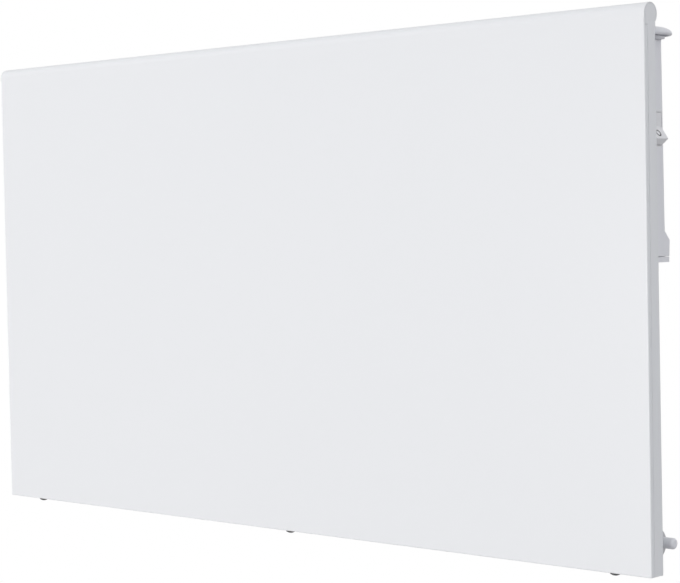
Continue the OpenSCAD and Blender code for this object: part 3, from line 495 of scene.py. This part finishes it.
# %% [markdown]
# There are two ways to say which edges are rounded. A Bevel modifier takes every edge that is sharper
# than an angle. Where only a few edges are meant, they are selected by a test on their place, and the
# bevel operator works on those alone. The same kind of test selects points that are then moved.

# %% Rounding and selecting
def round_edges(piece, width, sharper_than=35, segments=2):
    """Rounds each edge that is sharper than an angle in degrees, and applies it."""
    activate(piece)
    bevel = piece.modifiers.new("round", "BEVEL")
    bevel.width = width
    bevel.segments = segments
    bevel.limit_method = "ANGLE"
    bevel.angle_limit = math.radians(sharper_than)
    bevel.use_clamp_overlap = True
    bpy.ops.object.modifier_apply(modifier=bevel.name)


def clear_selection(piece, kind):
    """Leaves nothing selected in a mesh, with points (VERT) or edges (EDGE) as what is chosen next."""
    activate(piece)
    bpy.ops.object.mode_set(mode="EDIT")
    bpy.ops.mesh.select_mode(type=kind)
    bpy.ops.mesh.select_all(action="DESELECT")
    bpy.ops.object.mode_set(mode="OBJECT")


def select_points(piece, wanted):
    """Opens a piece in edit mode with only the points selected that satisfy a test on their place."""
    clear_selection(piece, "VERT")
    for vertex in piece.data.vertices:
        vertex.select = wanted(vertex.co)
    bpy.ops.object.mode_set(mode="EDIT")


def bevel_where(piece, wanted, width, segments=4, profile=0.5):
    """Rounds the edges whose two ends both satisfy a test on their place."""
    clear_selection(piece, "EDGE")
    for edge in piece.data.edges:
        edge.select = all(wanted(piece.data.vertices[i].co) for i in edge.vertices)
    bpy.ops.object.mode_set(mode="EDIT")
    bpy.ops.mesh.bevel(offset=width, segments=segments, profile=profile)
    bpy.ops.object.mode_set(mode="OBJECT")


# %% [markdown]
# A finished piece lies in its mesh and not in its object's place, so that the finish sits still on it.
# Faces that meet at less than an angle are shaded as one surface. Weighted normals then keep the big
# flat faces flat right up to the rounding, where plain smooth shading would draw a soft gradient.

# %% Finishing a piece
SMOOTH_BELOW = math.radians(40)


def settle(piece, body, slot):
    """Gives a finished piece its place in its mesh, its shading, its body and its finish."""
    activate(piece)
    bpy.ops.object.transform_apply(location=True, rotation=True, scale=True)
    bpy.ops.object.shade_smooth_by_angle(angle=SMOOTH_BELOW)
    flatter = piece.modifiers.new("normals", "WEIGHTED_NORMAL")
    flatter.keep_sharp = True
    bpy.ops.object.modifier_apply(modifier=flatter.name)
    piece.data.materials.clear()
    piece.data.materials.append(MATERIALS[slot])
    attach(piece, body)
    print(piece.name, len(piece.data.polygons), "faces")


def stand_in(piece, node):
    """Makes a finished piece stand for a CAD node, on its body and with its finish."""
    settle(piece, BODY_OF[node], SLOT_OF[node])
    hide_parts(node)


def softened(node, width):
    """Stands for a CAD node with the same shape and rounded edges."""
    piece = merged_copy(node, node + "_soft")
    round_edges(piece, width)
    stand_in(piece, node)


# %% [markdown]
# The sheet metal comes first. The front is one folded sheet, and a fold in thin sheet has an outer
# radius of about half a millimetre, while a cut edge is only broken. The photograph shows a thin darker
# line along the bottom of the front: there the fold is rounder, and turns away from the light. So the
# lower edges of the outer face are bevelled on their own, and everything else only a little.

# %% The front
FOLD_R, CUT_EDGE_R, NEAR = 0.75 * MM, 0.12 * MM, 0.01 * MM
FOLD_ZONE = 1.2 * MM

tray = merged_copy("front_panel", "front_panel_soft")
tray_low, tray_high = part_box("front_panel")
bevel_where(tray, lambda co: co.z < tray_low.z + NEAR and (
    co.y < tray_low.y + FOLD_ZONE or min(co.x - tray_low.x, tray_high.x - co.x) < NEAR), FOLD_R)
round_edges(tray, CUT_EDGE_R)
stand_in(tray, "front_panel")

# %% [markdown]
# The end caps close the sides. The photograph shows the side a little narrower at the top than at the
# bottom, and with a rounder lower rear corner. So a cap's rear edge gets a corner, its lower edge the
# same fold as the front, and the upper end of its outer rear edge is drawn forward.

# %% The end caps
CORNER, LEAN, OUTER_WALL = 1.3 * MM, 1.35 * MM, 1 * MM

for node in ("left_end_cap", "right_end_cap"):
    cap = merged_copy(node, node + "_soft")
    cap_low, cap_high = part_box(node)
    outside = cap_low.x if node == "left_end_cap" else cap_high.x
    rear = max(v.co.y for v in cap.data.vertices if v.co.z < cap_low.z + NEAR)
    bevel_where(cap, lambda co: co.z < cap_low.z + NEAR and co.y > rear - NEAR, CORNER)
    bevel_where(cap, lambda co: co.z < cap_low.z + CORNER + NEAR and abs(co.x - outside) < NEAR, FOLD_R)
    select_points(cap, lambda co: co.z > 0 and abs(co.y - rear) < NEAR and abs(co.x - outside) < OUTER_WALL)
    bpy.ops.transform.translate(value=(0, -LEAN, 0))
    bpy.ops.object.mode_set(mode="OBJECT")
    round_edges(cap, CUT_EDGE_R)
    stand_in(cap, node)

# %% [markdown]
# Behind, the casing is a shallow pressed box with air slots, and the bracket is two hooked rails with
# two bars. Their CAD shapes are already whole, so they only get their edges rounded.

# %% The casing and the bracket
softened("back_casing", 0.25 * MM)
for node in ("bracket_left_rail", "bracket_right_rail", "bracket_top_bar", "bracket_bottom_bar"):
    softened(node, 0.35 * MM)

# %% [markdown]
# The mouldings are thicker, and their corners are rounded by the mould. The housing and its terminal
# cover keep the fine groove between them, which shows in the photograph.

# %% The housing
softened("control_housing", 0.7 * MM)
softened("terminal_cover", 0.4 * MM)

# %% [markdown]
# The collar under the dial shows a crisp rim with a dark line below it, so it stands on a narrower foot.
# A bevel of two segments with a profile of zero cuts a square step into its lower edge, and the step's
# inner corners are drawn inwards. Only points outside the bore are meant, so both tests leave it out.

# %% The collar
COLLAR_STEP, FOOT_SHARE, OUTSIDE_BORE, COLLAR_EDGE_R = 0.6 * MM, 0.88, 10 * MM, 0.1 * MM

collar = merged_copy("dial_collar", "dial_collar_soft")
collar_low, collar_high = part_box("dial_collar")
collar_middle = (collar_low + collar_high) / 2
collar_r = (collar_high.x - collar_low.x) / 2


def from_axis(co):
    """How far a point lies from the collar's axis."""
    return (co - collar_middle).xy.length


bevel_where(collar, lambda co: co.z < collar_low.z + NEAR and from_axis(co) > OUTSIDE_BORE,
            COLLAR_STEP, segments=2, profile=0)
select_points(collar, lambda co: co.z < collar_low.z + COLLAR_STEP + NEAR and
              OUTSIDE_BORE < from_axis(co) < collar_r - COLLAR_STEP / 2)
bpy.ops.transform.resize(value=(FOOT_SHARE, FOOT_SHARE, 1), center_override=collar_middle)
bpy.ops.object.mode_set(mode="OBJECT")
round_edges(collar, COLLAR_EDGE_R)
stand_in(collar, "dial_collar")

# %% [markdown]
# The switch's frame, the sensor's holder and cap, the cable gland and the terminal block are small
# mouldings whose shapes are whole in the CAD model. The smaller the piece, the smaller its radius.

# %% Small mouldings
softened("switch_body", 0.22 * MM)
softened("sensor_holder", 0.5 * MM)
softened("sensor_cap", 0.3 * MM)
softened("cable_gland", 0.4 * MM)
softened("terminal_block", 0.4 * MM)

# %% [markdown]
# The dial's numbers, its mark and the signs on the rocker are printed, so they are made as very thin
# solids that lie on a surface. Text is made with Blender's own font and turned into a mesh, and pieces
# that are printed together are joined, once each one's place is in its mesh.

# %% Helpers for printed marks
PRINT_DEPTH = 0.12 * MM


def frame_of(place, up, normal):
    """A matrix that lays a flat mark on a surface: its top along up and its face along normal."""
    normal = normal.normalized()
    side = up.cross(normal).normalized()
    turn = Matrix((side, normal.cross(side), normal)).transposed().to_4x4()
    return Matrix.Translation(place) @ turn


def number(text, size):
    """A number as a thin solid in the plane of X and Y, centred on the origin."""
    sign = start_with(bpy.ops.object.text_add, location=(0, 0, 0))
    sign.data.body = text
    sign.data.size = size
    sign.data.extrude = PRINT_DEPTH / 2
    sign.data.align_x = "CENTER"
    sign.data.align_y = "CENTER"
    bpy.ops.object.convert(target="MESH")
    return bpy.context.active_object


def joined(pieces, name):
    """Joins finished meshes into one object and applies its place."""
    for thing in pieces:
        activate(thing)
        bpy.ops.object.transform_apply(location=True, rotation=True, scale=True)
    bpy.ops.object.select_all(action="DESELECT")
    for thing in pieces:
        thing.select_set(True)
    bpy.context.view_layer.objects.active = pieces[0]
    bpy.ops.object.join()
    whole = bpy.context.active_object
    whole.name = name
    whole.data.name = name
    return whole


# %% [markdown]
# The dial is one moulding: a shallow dome over a thin rim. Half an ellipse is the dome's section, so a
# number at some distance from the axis lies at the height of that ellipse and tilts by its slope. Zero
# and six stand near the two ends of the turn, and the number that points left, to the small mark on the
# housing's top, is the one that is set.

# %% The dial
KNOB_EDGE_R, DIAL_RIM = 0.2 * MM, 1.4 * MM

knob = merged_copy("thermostat_dial", "dial_knob")
round_edges(knob, KNOB_EDGE_R, sharper_than=50)
stand_in(knob, "thermostat_dial")
dial_low, dial_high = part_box("thermostat_dial")
dial_middle = (dial_low + dial_high) / 2
dial_r = (dial_high.x - dial_low.x) / 2
dome_h = dial_high.z - dial_low.z - DIAL_RIM
print("dial of radius", round(dial_r / MM, 2), "mm with a dome of", round(dome_h / MM, 2), "mm")

# %% The dial's numbers
NUMBER_RADIUS, NUMBER_SIZE = 12.4 * MM, 3.4 * MM
NUMBER_STEP, LAST_NUMBER, SET_NUMBER = 40, 6, 3

share = NUMBER_RADIUS / dial_r
dome_up = DIAL_RIM + dome_h * math.sqrt(1 - share ** 2)
dome_fall = math.atan(dome_h / dial_r * share / math.sqrt(1 - share ** 2))
numbers = []
for value in range(LAST_NUMBER + 1):
    turn = math.radians(180 + (SET_NUMBER - value) * NUMBER_STEP)
    outward = Vector((math.cos(turn), math.sin(turn), 0))
    place = Vector((dial_middle.x, dial_middle.y, dial_low.z + dome_up)) + outward * NUMBER_RADIUS
    digit = number(str(value), NUMBER_SIZE)
    digit.matrix_world = frame_of(place, SKY * math.sin(dome_fall) - outward * math.cos(dome_fall),
                                  outward * math.sin(dome_fall) + SKY * math.cos(dome_fall))
    numbers.append(digit)
settle(joined(numbers, "dial_numbers"), "dial", "dark_plastic")

# %% [markdown]
# The mark that the numbers point to is a small printed triangle on the housing's top, left of the dial.
# A circle with three corners is already a triangle. Its corners are rounded by a bevel of points instead
# of edges, and it is extruded to the thickness of a print, made wider than it is long, and turned to
# point at the dial.

# %% The mark beside the dial
POINTER_R, POINTER_CORNER, POINTER_STRETCH, POINTER_OFF = 1.8 * MM, 0.25 * MM, (1.3, 0.75, 1), 3.4 * MM

housing_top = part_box("control_housing")[1].z
pointer = start_with(bpy.ops.mesh.primitive_circle_add, vertices=3, radius=POINTER_R, fill_type="NGON")
pointer.name = "dial_pointer"
pointer.data.name = "dial_pointer"
bpy.ops.object.mode_set(mode="EDIT")
bpy.ops.mesh.select_all(action="SELECT")
bpy.ops.mesh.bevel(offset=POINTER_CORNER, segments=3, affect="VERTICES")
bpy.ops.mesh.extrude_region_move(TRANSFORM_OT_translate={"value": (0, 0, PRINT_DEPTH)})
bpy.ops.mesh.select_all(action="SELECT")
bpy.ops.mesh.normals_make_consistent(inside=False)
bpy.ops.object.mode_set(mode="OBJECT")
pointer.scale = POINTER_STRETCH
pointer.rotation_euler.z = math.radians(-90)
pointer.location = (dial_low.x - POINTER_OFF, dial_middle.y, housing_top - PRINT_DEPTH / 2)
settle(pointer, "heater", "dark_plastic")

# %% [markdown]
# The mains switch shows a wedge in the photograph: its lower half stands out and carries a ring. The
# rocker's CAD node has that outline. Hardly any gap shows beside it, so its sides are moved out a little
# and its upper end is drawn level with the frame, before its edges are rounded. The rocker's axis comes
# from its joint. The tests on places measure from it, so they pick out the cap and leave the hub alone.

# %% The rocker
ROCKER_AXIS = Vector(JOINT["rocker_tilt"]["pos_m"])
SIDE_GROWTH, UPPER_RAISE, ROCKER_EDGE_R = 0.2 * MM, 0.35 * MM, 0.45 * MM
BEYOND_HUB, UPPER_FACE, SIDE_WITHIN = 3 * MM, 0.5 * MM, 0.05 * MM

rocker = merged_copy("switch_rocker", "rocker_key")
half_w = max(abs(v.co.y - ROCKER_AXIS.y) for v in rocker.data.vertices
             if v.co.x > ROCKER_AXIS.x + BEYOND_HUB)
select_points(rocker, lambda co: abs(abs(co.y - ROCKER_AXIS.y) - half_w) < SIDE_WITHIN)
bpy.ops.transform.resize(value=(1, 1 + SIDE_GROWTH / half_w, 1), center_override=ROCKER_AXIS)
bpy.ops.object.mode_set(mode="OBJECT")
select_points(rocker, lambda co: co.z > ROCKER_AXIS.z + BEYOND_HUB and co.x > ROCKER_AXIS.x + UPPER_FACE)
print("points of the upper end", len([v for v in rocker.data.vertices if v.select]))
bpy.ops.transform.translate(value=(UPPER_RAISE, 0, 0))
bpy.ops.object.mode_set(mode="OBJECT")
round_edges(rocker, ROCKER_EDGE_R, sharper_than=30, segments=3)
stand_in(rocker, "switch_rocker")

# %% [markdown]
# The ring and the stroke are printed flat on the two halves of the rocker's face. Each half rises from
# the dip between them, which lies just in front of the axis, and at rest the whole rocker is tilted by
# half its travel. One function gives the place of a mark on either half.

# %% Where a mark lies on the rocker
ROCKER_TILT = math.radians(JOINT["rocker_tilt"]["range_deg"][1] / 2)
HALF_RISE, HALF_LENGTH = 3.0 * MM, 9.8 * MM
FACE_LEAN = math.atan(HALF_RISE / HALF_LENGTH)
ROCKER_DIP, MARK_OFF, MARK_Y, UPPER_END = 0.9 * MM, 5.4 * MM, -1.5 * MM, 10.4 * MM


def on_rocker(half):
    """The frame of a mark on the lower half (-1) or the upper half (1) of the rocker's face."""
    lean = half * FACE_LEAN - ROCKER_TILT
    along = Vector((math.sin(lean), 0, math.cos(lean))) * half
    normal = Vector((math.cos(lean), 0, -math.sin(lean)))
    dip = Vector((math.cos(ROCKER_TILT), 0, math.sin(ROCKER_TILT))) * ROCKER_DIP
    raised = UPPER_RAISE * MARK_OFF / UPPER_END if half > 0 else 0
    aside = Vector((raised, MARK_Y, 0))
    return frame_of(ROCKER_AXIS + dip + aside + along * MARK_OFF, SKY, normal)


# %% [markdown]
# A torus pressed flat makes the ring, and a cube drawn long, with its edges rounded, makes the stroke.

# %% The ring and the stroke
RING_R, STROKE, RING_FLATNESS, STROKE_EDGE_R = 2.3 * MM, 0.55 * MM, 0.15, 0.1 * MM

ring = start_with(bpy.ops.mesh.primitive_torus_add, major_radius=RING_R, minor_radius=STROKE,
                  major_segments=48, minor_segments=8)
ring.scale = (1, 1, RING_FLATNESS)
bpy.ops.object.transform_apply(scale=True)
ring.matrix_world = on_rocker(-1)
stroke = start_with(bpy.ops.mesh.primitive_cube_add, size=1)
stroke.scale = (2 * STROKE, 2 * (RING_R + STROKE), PRINT_DEPTH)
bpy.ops.object.transform_apply(scale=True)
round_edges(stroke, STROKE_EDGE_R, sharper_than=30)
stroke.matrix_world = on_rocker(1)
settle(joined([ring, stroke], "rocker_marks"), "rocker", "dark_plastic")

# %% [markdown]
# Every visible screw has a pan head with a cross recess. One node holds all screws of a kind, so first
# the separate screws are told apart: points that share an edge belong to the same one. Each screw's box
# then gives the middle of its head.

# %% Where the screws' heads are
def islands(piece):
    """The boxes of a mesh's loose parts, as pairs of corners."""
    parent = list(range(len(piece.data.vertices)))

    def root(i):
        while parent[i] != i:
            parent[i] = parent[parent[i]]
            i = parent[i]
        return i

    for edge in piece.data.edges:
        first, second = root(edge.vertices[0]), root(edge.vertices[1])
        parent[first] = second
    groups = {}
    for vertex in piece.data.vertices:
        groups.setdefault(root(vertex.index), []).append(vertex.co)
    return [(Vector(map(min, zip(*points))), Vector(map(max, zip(*points)))) for points in groups.values()]


def head_tops(piece, outward):
    """The number of the axis that the screws lie along, and the middle of each head's outer face."""
    axis = max(range(3), key=lambda i: abs(outward[i]))
    tops = []
    for low, high in islands(piece):
        top = (low + high) / 2
        top[axis] = high[axis] if outward[axis] > 0 else low[axis]
        tops.append(top)
    return axis, tops


# %% [markdown]
# The cutter for a recess is a cross that tapers downwards. It starts as a small cube, and each of its
# faces is extruded outwards on its own. The four sides become the arms, the lower face the pit in the
# middle, and the upper one only stands out of the head. Then the lower points are drawn together.

# %% A cutter in the form of a cross
CROSS_TAPER = 0.55


def cross_cutter(width, arm, depth):
    """A cross that tapers downwards, with its middle at the origin."""
    cutter = start_with(bpy.ops.mesh.primitive_cube_add, size=1, scale=(width, width, 2 * depth))
    bpy.ops.object.transform_apply(scale=True)
    bpy.ops.object.mode_set(mode="EDIT")
    bpy.ops.mesh.select_mode(type="FACE")
    bpy.ops.mesh.select_all(action="SELECT")
    bpy.ops.mesh.extrude_faces_move(TRANSFORM_OT_shrink_fatten={"value": arm})
    bpy.ops.object.mode_set(mode="OBJECT")
    select_points(cutter, lambda co: co.z < 0)
    bpy.ops.transform.resize(value=(CROSS_TAPER, CROSS_TAPER, 1), center_override=(0, 0, -depth))
    bpy.ops.object.mode_set(mode="OBJECT")
    return cutter


# %% [markdown]
# The heads are already in the CAD nodes, so a merged copy gets its outer rims rounded, and a cutter is
# made for each head. The cutters are joined, and one Boolean modifier takes them all away at once. The
# rims of the bottom screws are left to the CAD shape, whose heads are domed.

# %% Screw heads
def cut_away(piece, cutter):
    """Takes a closed cutter away from a closed piece, and then deletes the cutter."""
    activate(piece)
    cut = piece.modifiers.new("cut", "BOOLEAN")
    cut.operation = "DIFFERENCE"
    cut.solver = "EXACT"
    cut.object = cutter
    bpy.ops.object.modifier_apply(modifier=cut.name)
    bpy.data.objects.remove(cutter)


def recessed(node, outward, rim, width, arm, depth):
    """Rounds the heads of a node's screws and cuts a cross into each; outward is where they look."""
    piece = merged_copy(node, node + "_heads")
    axis, tops = head_tops(piece, outward)
    if rim:
        heights = {round(top[axis], 5) for top in tops}
        bevel_where(piece, lambda co: round(co[axis], 5) in heights, rim, segments=3)
    turn = Vector(outward).to_track_quat("Z", "Y").to_matrix().to_4x4()
    cutters = []
    for top in tops:
        cutter = cross_cutter(width, arm, depth)
        cutter.matrix_world = Matrix.Translation(top) @ turn
        cutters.append(cutter)
    cut_away(piece, joined(cutters, node + "_cutter"))
    stand_in(piece, node)


for node in ("casing_screws", "back_screws"):
    recessed(node, outward=(0, 1, 0), rim=0.7 * MM, width=0.7 * MM, arm=1.25 * MM, depth=1.1 * MM)
recessed("front_panel_screws", outward=(0, 0, -1), rim=0, width=0.9 * MM, arm=1.6 * MM, depth=1.4 * MM)

# %% [markdown]
# The rest of the frame keeps its own mesh, with the finish of its slot.

# %% Finishes on the nodes that stay
for node, thing in NODES.items():
    thing.data.materials.clear()
    thing.data.materials.append(MATERIALS[SLOT_OF[node]])
print("finishes on", len(NODES), "nodes")
